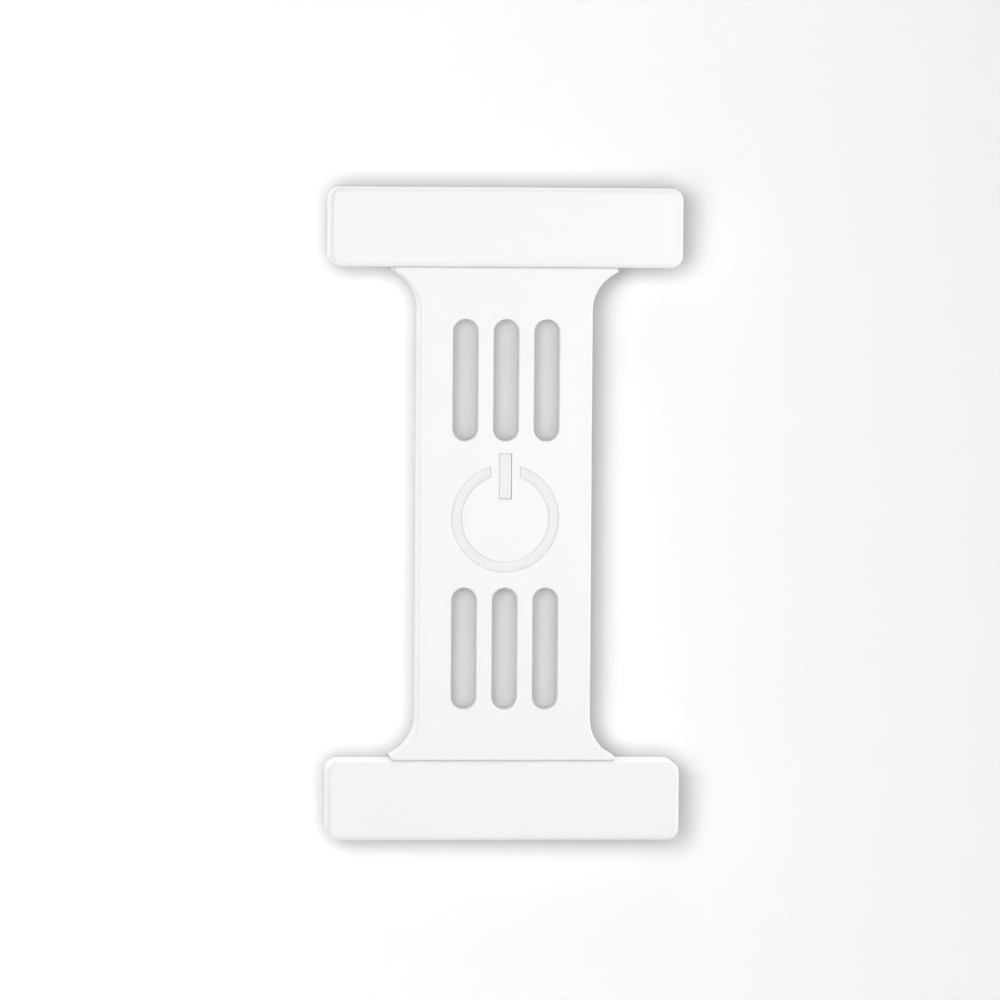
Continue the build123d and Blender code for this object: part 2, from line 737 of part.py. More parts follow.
with BuildPart() as power_board:
    with BuildSketch(layer(PAD_FRONT)):
        Rectangle(116, 124)
    extrude(amount=BOARD_THICK)
finish(power_board, "power_board")

with BuildPart() as inductors:
    with BuildSketch(layer(POWER_BOARD_FRONT)):
        with Locations((-38, 44), (-38, -46), (38, 44)):
            RectangleRounded(24, 24, 3)
    extrude(amount=7.4)
    fillet(inductors.faces().filter_by(Axis.Y).group_by(Axis.Y)[0].edges(), 1.2)
finish(inductors, "inductors")

with BuildPart() as transistors:
    with BuildSketch(layer(POWER_BOARD_FRONT)):
        with GridLocations(18, 22, 2, 3):
            Rectangle(10, 15)
    extrude(amount=4.4)
    with BuildSketch(layer(BMS_FRONT)):
        with Locations((-24, 221.5), (24, 221.5)):
            with GridLocations(12, 17, 2, 2):
                Rectangle(10, 15)
    extrude(amount=4.4)
finish(transistors, "transistors")

with BuildPart() as capacitors:
    with BuildSketch(level(-58)):
        with Locations(*[(x, -(POWER_BOARD_FRONT + 4)) for x in (28, 38, 48)]):
            Circle(4)
    extrude(amount=22)
finish(capacitors, "capacitors")

with BuildPart() as board_connector:
    with BuildSketch(layer(POWER_BOARD_FRONT)):
        with Locations((-48, 0)):
            RectangleRounded(7, 24, 0.6)
    extrude(amount=INDICATOR_BACK - POWER_BOARD_FRONT)
finish(board_connector, "board_connector")


# ---------------------------------------------------------------- blowers

def blower_sketch(hand, inset=0.0, outlet_rise=26.0):
    """Scroll: a round chamber with an upward outlet on its outer side."""
    with BuildSketch() as scroll:
        with Locations((hand * BLOWER_X, BLOWER_Z)):
            Circle(BLOWER_RADIUS - inset)
        with Locations((hand * (BLOWER_X + 14), BLOWER_Z + outlet_rise / 2)):
            Rectangle(22 - 2 * inset, outlet_rise)
    return scroll.sketch


def blower_housing(hand):
    """Scroll housing with an intake in its front, a bearing post and two screw lugs."""
    front = PLATE_FRONT + BLOWER_THICK
    with BuildPart() as housing:
        with BuildSketch(layer(PLATE_FRONT)):
            add(blower_sketch(hand))
            with Locations(*[place for place in BLOWER_SCREW_PLACES if place[0] * hand > 0]):
                RectangleRounded(8.4, 8.4, 2)
            with Locations((hand * BLOWER_X, BLOWER_Z - 14)):
                Rectangle(36, 18)
        extrude(amount=BLOWER_THICK)
        with BuildSketch(layer(PLATE_FRONT + BLOWER_WALL)):
            add(blower_sketch(hand, BLOWER_WALL))
        extrude(amount=BLOWER_THICK - 2 * BLOWER_WALL, mode=Mode.SUBTRACT)
        with BuildSketch(layer(front - BLOWER_WALL)):
            with Locations((hand * BLOWER_X, BLOWER_Z)):
                Circle(15)
        extrude(amount=BLOWER_WALL, mode=Mode.SUBTRACT)
        with BuildSketch(layer(PLATE_FRONT + BLOWER_WALL)):
            with Locations((hand * BLOWER_X, BLOWER_Z)):
                Circle(3)
                Circle(1.05, mode=Mode.SUBTRACT)
        extrude(amount=2.2)
        with BuildSketch(layer(PLATE_FRONT)):
            with Locations(*[place for place in BLOWER_SCREW_PLACES if place[0] * hand > 0]):
                Circle(SCREW_M3[0] + THREAD_GAP)
        extrude(amount=8, mode=Mode.SUBTRACT)
    return housing


def blower_rotor(hand):
    """Impeller: hub, base disc, a ring of upright blades and its shaft."""
    base = PLATE_FRONT + BLOWER_WALL + 2.5
    blade_height = BLOWER_THICK - 2 * BLOWER_WALL - 4.9
    centre = (hand * BLOWER_X, BLOWER_Z)
    with BuildPart() as rotor:
        with BuildSketch(layer(base)):
            with Locations(centre):
                Circle(ROTOR_RADIUS)
        extrude(amount=1.2)
        with BuildSketch(layer(base + 1.2)):
            with Locations(centre):
                Circle(9.5)
                with PolarLocations(ROTOR_RADIUS - 2.4, ROTOR_BLADES):
                    Rectangle(4.4, 0.9)
        extrude(amount=blade_height)
        with BuildSketch(layer(base - 2.3)):
            with Locations(centre):
                Circle(1.0)
        extrude(amount=2.3)
    return rotor


for name, hand in HANDS.items():
    finish(blower_housing(hand), f"blower_housing_{name}")
    finish(blower_rotor(hand), f"blower_rotor_{name}")


# ---------------------------------------------------------------- battery management, top of the spine

with BuildPart() as bms_board:
    with BuildSketch(layer(BMS_BACK)):
        with Locations((0, 221.5)):
            Rectangle(132, 37)
        with Locations(*BMS_POST_PLACES):
            Circle(SCREW_M3[0] + CLEARANCE, mode=Mode.SUBTRACT)
    extrude(amount=BMS_FRONT - BMS_BACK)
finish(bms_board, "bms_board")

with BuildPart() as bms_posts:
    with BuildSketch(layer(PLATE_FRONT)):
        with Locations(*BMS_POST_PLACES):
            RegularPolygon(2.6, 6)
    extrude(amount=BMS_BACK - PLATE_FRONT)
    with BuildSketch(layer(BMS_BACK)):
        with Locations(*BMS_POST_PLACES):
            Circle(SCREW_M3[0])
    extrude(amount=BMS_FRONT - BMS_BACK)
    with BuildSketch(layer(BMS_FRONT)):
        with Locations(*BMS_POST_PLACES):
            Circle(2.6)
    extrude(amount=1.6)
finish(bms_posts, "bms_posts")

with BuildPart() as bms_terminals:
    with BuildSketch(layer(BMS_FRONT)):
        with Locations((0, BMS_TERMINAL_TOP - 7)):
            RectangleRounded(20, 14, 1)
        with Locations((-44, 219), (44, 219)):
            RectangleRounded(12, 14, 1)
    extrude(amount=22)
finish(bms_terminals, "bms_terminals")


# ---------------------------------------------------------------- wiring and rear entry, foot of the spine

with BuildPart() as junction_block:
    with BuildSketch(layer(PLATE_FRONT)):
        with Locations((0, JUNCTION_BOTTOM + 28)):
            RectangleRounded(30, 12, 1.5)
    extrude(amount=16)
    with BuildSketch(layer(PLATE_FRONT + 16)):
        with Locations((0, JUNCTION_BOTTOM + 14.5)):
            RectangleRounded(30, 29, 1.5)
    extrude(amount=15)
finish(junction_block, "junction_block")

TRUNK_X = 69.5
trunk_routes = []
for hand in HANDS.values():
    trunk_routes.append([
        (hand * 15, -LEAD_DEPTH, -214),
        (hand * TRUNK_X, -LEAD_DEPTH, -214),
        (hand * TRUNK_X, -LEAD_DEPTH, 219),
        (hand * 50, -LEAD_DEPTH, 219),
    ])
finish(leads(trunk_routes), "trunk_leads")

with BuildPart() as terminal_block:
    with BuildSketch(layer(PLATE_FRONT)):
        with Locations((43, -231)):
            RectangleRounded(44, 20, 1.5)
    extrude(amount=18)
    with BuildSketch(layer(PLATE_FRONT + 18)):
        with Locations((43, -231)):
            with GridLocations(13, 0, 3, 1):
                Circle(3.3)
    extrude(amount=-8, mode=Mode.SUBTRACT)
finish(terminal_block, "terminal_block")

with BuildPart() as terminal_screws:
    with BuildSketch(layer(PLATE_FRONT + 10)):
        with Locations((43, -231)):
            with GridLocations(13, 0, 3, 1):
                Circle(3.1)
    extrude(amount=3)
finish(terminal_screws, "terminal_screws")

with BuildPart() as main_fuse:
    with BuildSketch(layer(PLATE_FRONT)):
        with Locations((-43, -231)):
            RectangleRounded(44, 16, 1.5)
    extrude(amount=6)
    with BuildSketch(Plane(origin=(-63, -(PLATE_FRONT + 11), -231), x_dir=(0, 0, 1), z_dir=(1, 0, 0))):
        Circle(5)
    extrude(amount=40)
finish(main_fuse, "main_fuse")

with BuildPart() as earth_stud:
    with BuildSketch(layer(PLATE_FRONT)):
        with Locations((72, -232)):
            RegularPolygon(4, 6)
    extrude(amount=3.2)
    with BuildSketch(layer(PLATE_FRONT + 3.2)):
        with Locations((72, -232)):
            Circle(2)
    extrude(amount=9)
finish(earth_stud, "earth_stud")
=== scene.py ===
"""Looks of a slim wall battery unit: two cell bars joined by a vented spine, in satin white plastic.

Everything is in metres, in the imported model's own frame: +X right, +Z up, the wall at Y = 0 and
the front towards -Y. The shapes are the frame's; this script gives them their materials, lays the
two filter mats behind the slots, and sets the wall, floor, lights and camera.
"""

import json
from functools import partial
from math import copysign, cos, pi, radians, sin

import bmesh
import bpy
from mathutils import Matrix, Vector
from mathutils.noise import turbulence

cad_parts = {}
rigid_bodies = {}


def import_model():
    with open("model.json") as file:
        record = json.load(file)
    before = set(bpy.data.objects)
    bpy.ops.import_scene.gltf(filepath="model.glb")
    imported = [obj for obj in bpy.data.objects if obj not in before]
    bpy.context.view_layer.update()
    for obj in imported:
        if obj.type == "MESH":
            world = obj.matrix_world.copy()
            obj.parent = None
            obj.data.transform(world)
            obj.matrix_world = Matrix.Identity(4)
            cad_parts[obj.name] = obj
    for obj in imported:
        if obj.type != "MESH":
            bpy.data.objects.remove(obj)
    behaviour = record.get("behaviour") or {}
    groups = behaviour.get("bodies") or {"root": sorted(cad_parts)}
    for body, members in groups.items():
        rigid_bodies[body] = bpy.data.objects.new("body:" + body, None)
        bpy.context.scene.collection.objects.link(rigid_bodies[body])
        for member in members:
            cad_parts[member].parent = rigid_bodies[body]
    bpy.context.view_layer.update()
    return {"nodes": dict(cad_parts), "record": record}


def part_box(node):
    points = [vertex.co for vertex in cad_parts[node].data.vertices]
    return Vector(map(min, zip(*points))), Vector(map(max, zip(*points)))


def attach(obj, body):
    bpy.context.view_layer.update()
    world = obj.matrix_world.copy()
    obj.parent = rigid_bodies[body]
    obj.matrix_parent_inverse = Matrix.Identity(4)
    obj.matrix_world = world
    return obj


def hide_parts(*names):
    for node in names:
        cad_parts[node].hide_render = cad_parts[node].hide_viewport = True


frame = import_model()
NODES = frame["nodes"]
MM = 0.001


def add_object(name, data):
    """A new object in the scene."""
    made = bpy.data.objects.new(name, data)
    bpy.context.scene.collection.objects.link(made)
    return made


# ---------------------------------------------------------------- node helpers

NOISE_LOW, NOISE_HIGH = 0.3, 0.7        # nearly all of a noise pattern lies between these
MIX_FIRST, MIX_SECOND, MIX_RESULT = 6, 7, 2     # the Mix node's colour sockets, by number
EDGE_REACH = 0.5 * MM
EDGE_STARTS, EDGE_FULL = 0.98, 0.8      # agreement of the true normal with the rounded one


def add_node(tree, kind, inputs=None, **settings):
    """One shader node, with its settings and its unlinked input values."""
    made = tree.nodes.new(kind)
    for name, value in settings.items():
        setattr(made, name, value)
    for name, value in (inputs or {}).items():
        made.inputs[name].default_value = value
    return made


def new_material(name, roughness, metallic=0.0, sockets=None):
    """A Principled material and its tree and shader, with the sockets that stay the same all over."""
    made = bpy.data.materials.new(name)
    made.use_nodes = True
    tree = made.node_tree
    shader = tree.nodes["Principled BSDF"]
    shader.inputs["Roughness"].default_value = roughness
    shader.inputs["Metallic"].default_value = metallic
    for socket, value in (sockets or {}).items():
        shader.inputs[socket].default_value = value
    return made, tree, shader


def place(tree, stretch=(1, 1, 1), turn=(0, 0, 0)):
    """Object coordinates, stretched and turned."""
    coordinates = add_node(tree, "ShaderNodeTexCoord")
    mapping = add_node(tree, "ShaderNodeMapping", {"Scale": stretch, "Rotation": turn})
    tree.links.new(coordinates.outputs["Object"], mapping.inputs["Vector"])
    return mapping.outputs["Vector"]


def noise(tree, size, detail=2.0, stretch=(1, 1, 1), turn=(0, 0, 0), roughness=0.5):
    """Noise from 0 to 1 whose features are about size metres across."""
    made = add_node(tree, "ShaderNodeTexNoise",
                    {"Scale": 1 / size, "Detail": detail, "Roughness": roughness})
    tree.links.new(place(tree, stretch, turn), made.inputs["Vector"])
    return made.outputs["Fac"]


def cells_pattern(tree, size, randomness=1.0):
    """Distance in a cell pattern whose cells are about size metres across."""
    made = add_node(tree, "ShaderNodeTexVoronoi", {"Scale": 1 / size, "Randomness": randomness})
    tree.links.new(place(tree), made.inputs["Vector"])
    return made.outputs["Distance"]


def remap(tree, value, low, high, to_low=0.0, to_high=1.0):
    """Value from low..high to to_low..to_high, held at both ends."""
    made = add_node(tree, "ShaderNodeMapRange",
                    {"From Min": low, "From Max": high, "To Min": to_low, "To Max": to_high})
    tree.links.new(value, made.inputs["Value"])
    return made.outputs["Result"]


def spread(tree, pattern, to_low=0.0, to_high=1.0):
    """A noise pattern stretched over the whole of to_low..to_high."""
    return remap(tree, pattern, NOISE_LOW, NOISE_HIGH, to_low, to_high)


def combine(tree, operation, first, second):
    """Arithmetic on two sockets or numbers."""
    made = add_node(tree, "ShaderNodeMath", operation=operation)
    for socket, value in zip(made.inputs, (first, second)):
        if isinstance(value, (int, float)):
            socket.default_value = value
        else:
            tree.links.new(value, socket)
    return made.outputs["Value"]


def blend_colours(tree, share, first, second):
    """Colour between two colours or colour sockets, by a share from 0 to 1."""
    made = add_node(tree, "ShaderNodeMix", data_type="RGBA")
    tree.links.new(share, made.inputs["Factor"])
    for socket, value in zip((made.inputs[MIX_FIRST], made.inputs[MIX_SECOND]), (first, second)):
        if isinstance(value, bpy.types.NodeSocket):
            tree.links.new(value, socket)
        else:
            socket.default_value = (*value, 1)
    return made.outputs[MIX_RESULT]


def shade(colour, factor):
    """A colour made lighter or darker."""
    return tuple(min(1.0, channel * factor) for channel in colour)


def lift(colour, rise, kept=1.0):
    """A colour made paler: a share of it is kept, and grey is added."""
    return tuple(channel * kept + rise for channel in colour)


def grey(value):
    """A grey as a colour."""
    return (value, value, value)


def worn_edges(tree):
    """0 on flats, rising to 1 on sharp edges, however large the faces beside them are."""
    rounded = add_node(tree, "ShaderNodeBevel", {"Radius": EDGE_REACH}, samples=4)
    geometry = add_node(tree, "ShaderNodeNewGeometry")
    agreement = add_node(tree, "ShaderNodeVectorMath", operation="DOT_PRODUCT")
    tree.links.new(rounded.outputs["Normal"], agreement.inputs[0])
    tree.links.new(geometry.outputs["Normal"], agreement.inputs[1])
    return remap(tree, agreement.outputs["Value"], EDGE_STARTS, EDGE_FULL)


def relief(tree, shader, *layers):
    """Bumps one over another: each layer is a height socket and its depth in metres."""
    normal = None
    for height, depth in layers:
        bump = add_node(tree, "ShaderNodeBump", {"Strength": 1.0, "Distance": depth})
        tree.links.new(height, bump.inputs["Height"])
        if normal is not None:
            tree.links.new(normal, bump.inputs["Normal"])
        normal = bump.outputs["Normal"]
    tree.links.new(normal, shader.inputs["Normal"])


def connect(tree, shader, colour, roughness=None):
    """Colour and roughness sockets into the shader."""
    tree.links.new(colour, shader.inputs["Base Color"])
    if roughness is not None:
        tree.links.new(roughness, shader.inputs["Roughness"])


# ---------------------------------------------------------------- materials, one function a family

COVER_WHITENESS = 0.83
KEY_WHITENESS = 0.815
BLACK_INSULATION = (0.035, 0.035, 0.038)
HOUSE_DUST = (0.6, 0.58, 0.55)
TIN = (0.62, 0.6, 0.55)


def satin_white(name, colour, whiteness=COVER_WHITENESS):
    """Spark-eroded moulded plastic: fine even grain and hardly visible flow shades."""
    made, tree, shader = new_material(name, 0.36, sockets={"Specular IOR Level": 0.5})
    colour = shade(colour, whiteness)
    flow = noise(tree, 90 * MM, detail=3, stretch=(1, 1, 0.5))
    cast = blend_colours(tree, spread(tree, flow), shade(colour, 0.992), colour)
    grain = noise(tree, 0.45 * MM, detail=2, roughness=0.6)
    satin = spread(tree, noise(tree, 30 * MM, detail=4), 0.32, 0.4)
    connect(tree, shader, cast, satin)
    relief(tree, shader, (noise(tree, 50 * MM, detail=1), 0.05 * MM), (grain, 0.006 * MM))
    return made


def frosted_guide(name, colour):
    """Opal light guide: finer grain than the cover's, and light scatters a little inside it."""
    made, tree, shader = new_material(name, 0.5, sockets={"Subsurface Weight": 0.15,
                                                          "Subsurface Scale": 4 * MM})
    shader.inputs["Subsurface Radius"].default_value = (1.0, 1.0, 0.95)
    milk = blend_colours(tree, noise(tree, 12 * MM, detail=3), shade(colour, 0.83), shade(colour, 0.855))
    frost = spread(tree, noise(tree, 2 * MM, detail=3), 0.45, 0.58)
    connect(tree, shader, milk, frost)
    relief(tree, shader, (noise(tree, 0.25 * MM, detail=1), 0.004 * MM))
    return made


def moulded(name, colour, roughness=0.5, grain=0.5 * MM, depth=0.02 * MM, fleck=0.0):
    """Engineering plastic: grain, uneven gloss, scuffed edges and, when glass-filled, pale flecks."""
    made, tree, shader = new_material(name, roughness)
    mottle = noise(tree, 20 * MM, detail=4)
    body = blend_colours(tree, mottle, shade(colour, 0.88), shade(colour, 1.1))
    scuffed = blend_colours(tree, combine(tree, "MULTIPLY", worn_edges(tree), 0.5), body,
                            lift(colour, 0.25, kept=0.7))
    if fleck:
        strands = noise(tree, 0.5 * MM, detail=1, stretch=(1, 1, 0.12))
        scuffed = blend_colours(tree, remap(tree, strands, 0.66, 0.72, 0, fleck), scuffed,
                                lift(colour, 0.25))
    gloss = spread(tree, noise(tree, 6 * MM, detail=3), roughness - 0.07, roughness + 0.09)
    connect(tree, shader, scuffed, gloss)
    relief(tree, shader, (noise(tree, grain, detail=2), depth))
    return made


def zinc_sheet(name, colour):
    """Zinc plated sheet: rolling lines along Z, cloudy passivation, bright sheared edges."""
    made, tree, shader = new_material(name, 0.36, metallic=1.0, sockets={"Anisotropic": 0.3})
    clouds = spread(tree, noise(tree, 35 * MM, detail=5, roughness=0.6))
    cool = blend_colours(tree, clouds, shade(colour, 1.02), shade(colour, 1.1))
    warm = blend_colours(tree, remap(tree, noise(tree, 110 * MM, detail=2), 0.45, 0.7, 0, 0.35), cool,
                         (colour[0], colour[1] * 0.97, colour[2] * 0.88))
    bright = blend_colours(tree, worn_edges(tree), warm, shade(colour, 1.2))
    rolled = noise(tree, 0.6 * MM, detail=3, stretch=(1, 1, 0.01))
    sheen = spread(tree, noise(tree, 8 * MM, detail=4), 0.28, 0.44)
    connect(tree, shader, bright, sheen)
    relief(tree, shader, (rolled, 0.004 * MM), (noise(tree, 4 * MM, detail=4), 0.012 * MM))
    return made


def powder_coat(name, colour):
    """Powder coated steel: orange peel with fine grit, thinner and darker on the edges."""
    made, tree, shader = new_material(name, 0.5, sockets={"Specular IOR Level": 0.5})
    cast = blend_colours(tree, noise(tree, 50 * MM, detail=3), shade(colour, 0.96), colour)
    thin = blend_colours(tree, combine(tree, "MULTIPLY", worn_edges(tree), 0.3), cast,
                         shade(colour, 0.7))
    gloss = spread(tree, noise(tree, 3 * MM, detail=2), 0.42, 0.56)
    connect(tree, shader, thin, gloss)
    peel = noise(tree, 1.6 * MM, detail=1)
    grit = noise(tree, 0.35 * MM, detail=2)
    relief(tree, shader, (peel, 0.05 * MM), (grit, 0.012 * MM))
    return made


def turned_metal(name, colour, roughness=0.3, streak=(1, 0.05, 1)):
    """Plated or turned metal: fine tool marks, patchy tarnish, bright edges."""
    made, tree, shader = new_material(name, roughness, metallic=1.0)
    tarnish = remap(tree, noise(tree, 4 * MM, detail=5, roughness=0.65), 0.35, 0.7)
    body = blend_colours(tree, tarnish, shade(colour, 0.78), colour)
    bright = blend_colours(tree, worn_edges(tree), body, shade(colour, 1.15))
    marks = noise(tree, 0.12 * MM, detail=2, stretch=streak)
    gloss = spread(tree, marks, roughness - 0.08, roughness + 0.12)
    connect(tree, shader, bright, gloss)
    relief(tree, shader, (marks, 0.004 * MM))
    return made


def extruded_aluminium(name, colour):
    """Extruded aluminium: die lines along Z, with a faint oxide cloud."""
    made, tree, shader = new_material(name, 0.38, metallic=1.0, sockets={"Anisotropic": 0.4})
    cloud = blend_colours(tree, noise(tree, 20 * MM, detail=5), shade(colour, 0.85), shade(colour, 1.08))
    lines = noise(tree, 0.25 * MM, detail=3, stretch=(1, 1, 0.004))
    gloss = spread(tree, lines, 0.3, 0.48)
    connect(tree, shader, cloud, gloss)
    relief(tree, shader, (lines, 0.01 * MM))
    return made


def rubber(name, colour, roughness=0.75, pore=0.6 * MM, depth=0.06 * MM):
    """Rubber: fine pores, a little bloom, and uneven gloss."""
    made, tree, shader = new_material(name, roughness, sockets={"Specular IOR Level": 0.35})
    bloom = remap(tree, noise(tree, 10 * MM, detail=5), 0.4, 0.75, 0, 0.5)
    dusty = blend_colours(tree, bloom, colour, lift(colour, 0.05))
    pores = cells_pattern(tree, pore)
    dull = spread(tree, noise(tree, 4 * MM, detail=2), roughness - 0.08, roughness + 0.1)
    connect(tree, shader, dusty, dull)
    relief(tree, shader, (pores, depth))
    return made


def wire_insulation(name, colour):
    """Silicone wire insulation: red on the +X side and black on the other, a little dusty."""
    made, tree, shader = new_material(name, 0.55, sockets={"Specular IOR Level": 0.4})
    split = add_node(tree, "ShaderNodeSeparateXYZ")
    tree.links.new(place(tree), split.inputs["Vector"])
    side = remap(tree, split.outputs["X"], -0.1 * MM, 0.1 * MM)
    pair = blend_colours(tree, side, BLACK_INSULATION, colour)
    dust = remap(tree, noise(tree, 6 * MM, detail=4), 0.45, 0.8, 0, 0.12)
    dusty = blend_colours(tree, dust, pair, HOUSE_DUST)
    gloss = spread(tree, noise(tree, 2 * MM, detail=2), 0.48, 0.64)
    connect(tree, shader, dusty, gloss)
    relief(tree, shader, (noise(tree, 0.8 * MM, detail=2, stretch=(1, 1, 0.3)), 0.02 * MM))
    return made


def shrink_sleeve(name, colour, roughness=0.22):
    """Heat-shrink sleeve: glossy film, paler at its rims, with soft lengthwise wrinkles."""
    made, tree, shader = new_material(name, roughness, sockets={"Coat Weight": 0.3, "Coat Roughness": 0.15})
    film = blend_colours(tree, noise(tree, 15 * MM, detail=3), shade(colour, 0.9), shade(colour, 1.08))
    rim = blend_colours(tree, combine(tree, "MULTIPLY", worn_edges(tree), 0.4), film,
                        lift(colour, 0.35, kept=0.6))
    gloss = spread(tree, noise(tree, 5 * MM, detail=3), roughness - 0.06, roughness + 0.1)
    connect(tree, shader, rim, gloss)
    wrinkles = noise(tree, 1.2 * MM, detail=2, stretch=(1, 1, 0.2))
    relief(tree, shader, (wrinkles, 0.02 * MM))
    return made


def fibre_board(name, colour):
    """Pressed fibre sheet: short crossing fibres and a matte, slightly uneven face."""
    made, tree, shader = new_material(name, 0.85, sockets={"Specular IOR Level": 0.25})
    across = noise(tree, 0.5 * MM, detail=3, stretch=(0.15, 1, 1), turn=(0, 0.4, 0))
    along = noise(tree, 0.5 * MM, detail=3, stretch=(1, 1, 0.15), turn=(0, 0.2, 0))
    fibres = combine(tree, "MAXIMUM", across, along)
    speckled = blend_colours(tree, remap(tree, fibres, 0.45, 0.75), shade(colour, 0.9),
                             shade(colour, 1.06))
    dry = remap(tree, fibres, 0.3, 0.8, 0.8, 0.92)
    connect(tree, shader, speckled, dry)
    relief(tree, shader, (fibres, 0.04 * MM))
    return made


def circuit_board(name, colour):
    """Solder mask over copper: a grid of tracks, pads between them, and gloss of lacquer."""
    made, tree, shader = new_material(name, 0.32, sockets={"Coat Weight": 0.25, "Coat Roughness": 0.2})
    tracks = add_node(tree, "ShaderNodeTexBrick",
                      {"Scale": 1.0, "Mortar Size": 0.35 * MM, "Brick Width": 9 * MM,
                       "Row Height": 2.4 * MM, "Mortar Smooth": 0.1, "Bias": 0.0})
    tree.links.new(place(tree, turn=(pi / 2, 0, 0)), tracks.inputs["Vector"])
    track = tracks.outputs["Fac"]
    pads = remap(tree, cells_pattern(tree, 5 * MM, randomness=0.6), 0.09, 0.1, 1, 0)
    mask = blend_colours(tree, track, colour, shade(colour, 1.9))
    tinned = blend_colours(tree, pads, mask, TIN)
    gloss = spread(tree, noise(tree, 4 * MM, detail=2), 0.26, 0.4)
    connect(tree, shader, tinned, gloss)
    relief(tree, shader, (combine(tree, "MAXIMUM", track, pads), 0.03 * MM))
    return made


def silicone_pad(name, colour):
    """Gap-filling silicone: dull and putty-like, with the print of its liner."""
    made, tree, shader = new_material(name, 0.7, sockets={"Specular IOR Level": 0.3})
    cast = blend_colours(tree, noise(tree, 10 * MM, detail=3), shade(colour, 0.92), shade(colour, 1.05))
    print_mark = cells_pattern(tree, 0.9 * MM, randomness=0.1)
    dull = spread(tree, noise(tree, 3 * MM, detail=2), 0.62, 0.8)
    connect(tree, shader, cast, dull)
    relief(tree, shader, (print_mark, 0.05 * MM))
    return made


def clear_lens(name, colour):
    """Moulded lens over a lamp: bright, faintly yellow phosphor with a glossy skin."""
    made, tree, shader = new_material(name, 0.12, sockets={"Coat Weight": 0.5, "Coat Roughness": 0.05})
    phosphor = blend_colours(tree, remap(tree, noise(tree, 0.4 * MM, detail=3), 0.35, 0.65),
                             (colour[0], colour[1] * 0.97, colour[2] * 0.6), colour)
    gloss = spread(tree, noise(tree, 1 * MM, detail=2), 0.08, 0.2)
    connect(tree, shader, phosphor, gloss)
    relief(tree, shader, (noise(tree, 0.5 * MM, detail=1), 0.01 * MM))
    return made


def non_woven(name, colour):
    """Non-woven filter mat: short fibres laid three ways, in soft clumps."""
    made, tree, shader = new_material(name, 0.9, sockets={"Specular IOR Level": 0.2, "Sheen Weight": 0.15})
    layers = [noise(tree, 0.35 * MM, detail=3, stretch=(1, 1, 0.12), turn=(0, turn, 0))
              for turn in (0.3, 1.35, 2.4)]
    fibres = combine(tree, "MAXIMUM", combine(tree, "MAXIMUM", layers[0], layers[1]), layers[2])
    clumps = noise(tree, 6 * MM, detail=4)
    body = blend_colours(tree, remap(tree, fibres, 0.45, 0.8), shade(colour, 0.94),
                         shade(colour, 1.06))
    uneven = blend_colours(tree, remap(tree, clumps, 0.35, 0.7, 0, 0.5), body, shade(colour, 0.98))
    dry = remap(tree, fibres, 0.4, 0.8, 0.82, 0.95)
    connect(tree, shader, uneven, dry)
    relief(tree, shader, (clumps, 0.12 * MM), (fibres, 0.08 * MM))
    return made


FAMILIES = {
    "white_cover": satin_white,
    "key_plastic": partial(satin_white, whiteness=KEY_WHITENESS),
    "light_guide": frosted_guide,
    "filter_mat": non_woven,
    "holder_plastic": moulded,
    "frame_plastic": moulded,
    "block_plastic": moulded,
    "terminal_plastic": moulded,
    "component_black": partial(moulded, roughness=0.45, grain=0.3 * MM, depth=0.01 * MM),
    "ferrite": partial(moulded, roughness=0.62, grain=0.25 * MM, depth=0.03 * MM),
    "plunger_plastic": partial(moulded, roughness=0.38, grain=0.3 * MM, depth=0.008 * MM),
    "blower_plastic": partial(moulded, roughness=0.52, fleck=0.6),
    "zinc_steel": zinc_sheet,
    "bracket_steel": powder_coat,
    "screw_steel": turned_metal,
    "nickel": partial(turned_metal, roughness=0.34, streak=(0.05, 1, 1)),
    "brass": partial(turned_metal, roughness=0.26),
    "sink_aluminium": extruded_aluminium,
    "gasket_rubber": rubber,
    "pad_rubber": partial(rubber, roughness=0.68, pore=0.9 * MM, depth=0.04 * MM),
    "thermal_silicone": silicone_pad,
    "wire_insulation": wire_insulation,
    "cell_wrap": shrink_sleeve,
    "capacitor_sleeve": partial(shrink_sleeve, roughness=0.28),
    "fibre_sheet": fibre_board,
    "circuit_board": circuit_board,
    "led_lens": clear_lens,
}


def give_finishes():
    """Every CAD node gets the procedural material of its slot. Returns the materials by slot."""
    colours = {row["slot"]: tuple(row["base_color"]) for row in frame["record"]["materials"]}
    materials = {slot: FAMILIES[slot](slot + "_look", colour) for slot, colour in colours.items()}
    for row in frame["record"]["subparts"]:
        mesh = NODES[row["node"]].data
        mesh.materials.clear()
        mesh.materials.append(materials[row["material_slot"]])
    return materials


# ---------------------------------------------------------------- filter mats behind the slots

MAT_STEP = 1.5 * MM
MAT_CORNER = 3 * MM
MAT_EDGE_SHARE = 0.6        # edge thickness as a share of the full thickness
MAT_EDGE_REACH = 7 * MM     # how far in from the edge the mat is pressed thinner
MAT_UNDULATION = 0.1 * MM
MAT_WAVE = 12 * MM          # length of an undulation


def mat_outline(across, up, half_width, half_height):
    """A place in the mat's rectangle, pulled in to the rounded corner where it lies outside it."""
    past = Vector((abs(across) - half_width + MAT_CORNER, abs(up) - half_height + MAT_CORNER))
    if min(past) <= 0 or past.length <= MAT_CORNER:
        return across, up
    past *= MAT_CORNER / past.length
    return (copysign(half_width - MAT_CORNER + past.x, across),
            copysign(half_height - MAT_CORNER + past.y, up))


